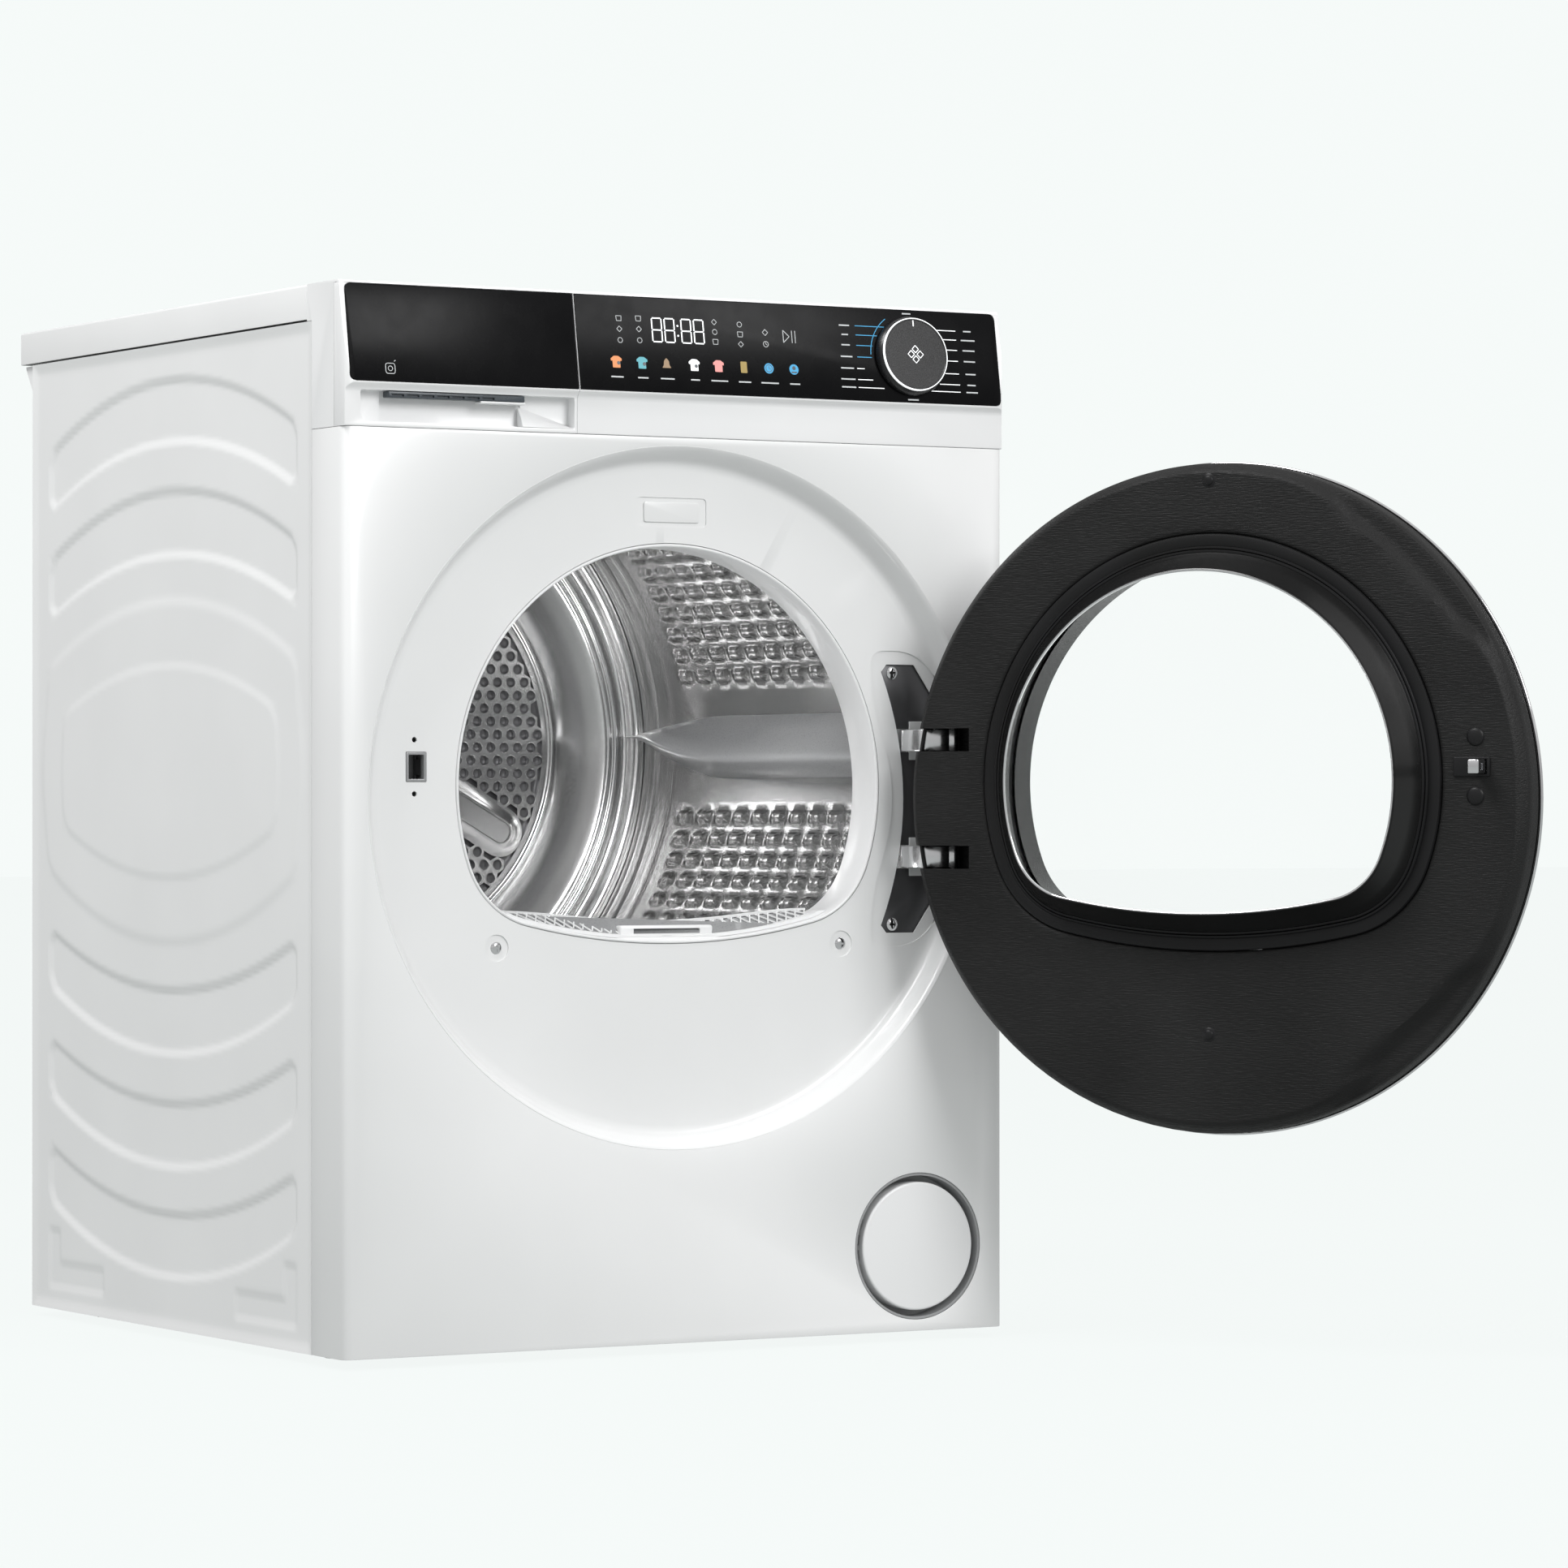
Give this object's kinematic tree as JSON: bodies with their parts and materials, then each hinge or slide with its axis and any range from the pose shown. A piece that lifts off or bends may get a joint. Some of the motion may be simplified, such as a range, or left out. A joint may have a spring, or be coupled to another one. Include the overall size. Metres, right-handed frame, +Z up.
{
  "type": "clothes dryer",
  "caption": "Front-loading heat-pump clothes dryer with a round glazed door, steel drum with lifters, leaning control panel and water tank drawer.",
  "frame": {"origin": "centre of the base pan underside, level with the bottom edge of the cabinet; the feet reach 8 mm below it", "axes": "+Z up, front panel facing -Y, +X to the right for someone facing the door"},
  "size_m": [0.8088, 1.0748, 0.831],
  "materials": {
    "enamel": "gloss white enamel",
    "worktop": "gloss white laminate",
    "white_plastic": "gloss white moulding",
    "black_glass": "gloss black panel",
    "black_plastic": "satin black moulding",
    "knob": "satin black with a bright ring",
    "grey_plastic": "satin grey moulding",
    "clear_tank": "translucent white moulding",
    "dark_metal": "dark grey metal",
    "galvanised": "galvanised sheet",
    "light_sheet": "galvanised sheet",
    "stainless": "bright stainless sheet",
    "chrome": "polished",
    "fins": "plain aluminium fins",
    "motor_casting": "cast housing",
    "compressor_can": "black painted can",
    "copper": "copper tube",
    "rubber": "matt black rubber",
    "felt": "grey felt",
    "clear_glass": "clear glass",
    "circuit": "circuit board"
  },
  "bodies": {
    "cabinet": {"base_pan": "black_plastic", "left_side_panel": "enamel", "right_side_panel": "enamel", "rear_panel": "galvanised", "front_panel": "enamel", "worktop": "worktop", "rear_top_rail": "white_plastic", "control_fascia": "white_plastic", "control_glass": "black_glass", "control_board": "circuit", "tank_tray": "grey_plastic", "front_bulkhead": "white_plastic", "drum_felt": "felt", "rear_bulkhead": "light_sheet", "rear_bearing": "dark_metal", "rear_duct": "light_sheet", "drum_belt": "rubber", "motor_housing": "motor_casting", "fan_housing": "grey_plastic", "evaporator": "fins", "condenser": "fins", "compressor": "compressor_can", "refrigerant_pipe": "copper", "condensate_pump": "black_plastic", "service_ring": "grey_plastic", "latch_housing": "grey_plastic", "hinge_plate": "dark_metal", "hinge_arm_upper": "chrome", "hinge_arm_lower": "chrome", "mains_inlet": "black_plastic"},
    "door": {"door_inner_frame": "black_plastic", "door_outer_shell": "black_plastic", "door_trim_ring": "chrome", "door_bezel": "black_plastic", "door_glass_bowl": "clear_glass", "door_outer_window": "clear_glass", "latch_hook": "chrome", "door_bumper_upper": "rubber", "door_bumper_lower": "rubber"},
    "drum": {"drum_wrapper": "stainless", "drum_back": "stainless", "lifter_1": "grey_plastic", "lifter_2": "grey_plastic", "lifter_3": "grey_plastic"},
    "support_roller_left": {"roller_left": "rubber"},
    "support_roller_right": {"roller_right": "rubber"},
    "motor_rotor": {"motor_shaft": "dark_metal", "fan_impeller": "black_plastic"},
    "belt_idler": {"idler_pulley": "grey_plastic"},
    "program_knob": {"program_knob": "knob"},
    "tank_drawer": {"tank_front": "white_plastic", "tank_glass": "black_glass", "water_tank": "clear_tank"},
    "lint_filter": {"filter_frame": "white_plastic"},
    "pump_cap": {"service_cap": "white_plastic"},
    "door_latch": {"latch_pawl": "dark_metal"},
    "foot_front_left": {"foot_front_left": "rubber"},
    "foot_front_right": {"foot_front_right": "rubber"},
    "foot_rear_left": {"foot_rear_left": "rubber"},
    "foot_rear_right": {"foot_rear_right": "rubber"}
  },
  "joints": [
    {"name": "door_swing", "type": "hinge", "parent": "cabinet", "child": "door", "pos_m": [0.2382, -0.3145, 0.4275], "axis": [0, 0, 1], "range_deg": [-122, 6]},
    {"name": "drum_spin", "type": "hinge", "parent": "cabinet", "child": "drum", "pos_m": [0, 0, 0.473], "axis": [0, 1, 0], "continuous": true},
    {"name": "left_roller_spin", "type": "hinge", "parent": "cabinet", "child": "support_roller_left", "pos_m": [-0.18866, -0.22, 0.24817], "axis": [0, 1, 0], "continuous": true},
    {"name": "right_roller_spin", "type": "hinge", "parent": "cabinet", "child": "support_roller_right", "pos_m": [0.18866, -0.22, 0.24817], "axis": [0, 1, 0], "continuous": true},
    {"name": "motor_spin", "type": "hinge", "parent": "cabinet", "child": "motor_rotor", "pos_m": [-0.165, 0.08, 0.12], "axis": [0, 1, 0], "continuous": true},
    {"name": "idler_spin", "type": "hinge", "parent": "cabinet", "child": "belt_idler", "pos_m": [-0.085, 0.01, 0.112], "axis": [0, 1, 0], "continuous": true},
    {"name": "knob_turn", "type": "hinge", "parent": "cabinet", "child": "program_knob", "pos_m": [0.2095, -0.2945, 0.78251], "axis": [0, -0.9871, 0.1604], "continuous": true},
    {"name": "tank_pull", "type": "slide", "parent": "cabinet", "child": "tank_drawer", "axis": [0, -1, 0], "range_m": [0, 0.33]},
    {"name": "filter_lift", "type": "slide", "parent": "cabinet", "child": "lint_filter", "axis": [0, 0, 1], "range_m": [0, 0.16]},
    {"name": "cap_pull", "type": "slide", "parent": "cabinet", "child": "pump_cap", "axis": [0, -1, 0], "range_m": [0, 0.06]},
    {"name": "latch_turn", "type": "hinge", "parent": "cabinet", "child": "door_latch", "pos_m": [-0.2175, -0.259, 0.4516], "axis": [0, 0, -1], "range_deg": [0, 20]},
    {"name": "front_left_foot_screw", "type": "slide", "parent": "cabinet", "child": "foot_front_left", "axis": [0, 0, -1], "range_m": [0, 0.02]},
    {"name": "front_right_foot_screw", "type": "slide", "parent": "cabinet", "child": "foot_front_right", "axis": [0, 0, -1], "range_m": [0, 0.02]},
    {"name": "rear_left_foot_screw", "type": "slide", "parent": "cabinet", "child": "foot_rear_left", "axis": [0, 0, -1], "range_m": [0, 0.02]},
    {"name": "rear_right_foot_screw", "type": "slide", "parent": "cabinet", "child": "foot_rear_right", "axis": [0, 0, -1], "range_m": [0, 0.02]}
  ],
  "couplings": [
    {"joint": "left_roller_spin", "follows": "drum_spin", "ratio": -13.66},
    {"joint": "right_roller_spin", "follows": "drum_spin", "ratio": -13.66},
    {"joint": "motor_spin", "follows": "drum_spin", "ratio": 27.32},
    {"joint": "idler_spin", "follows": "drum_spin", "ratio": 15.178}
  ]
}
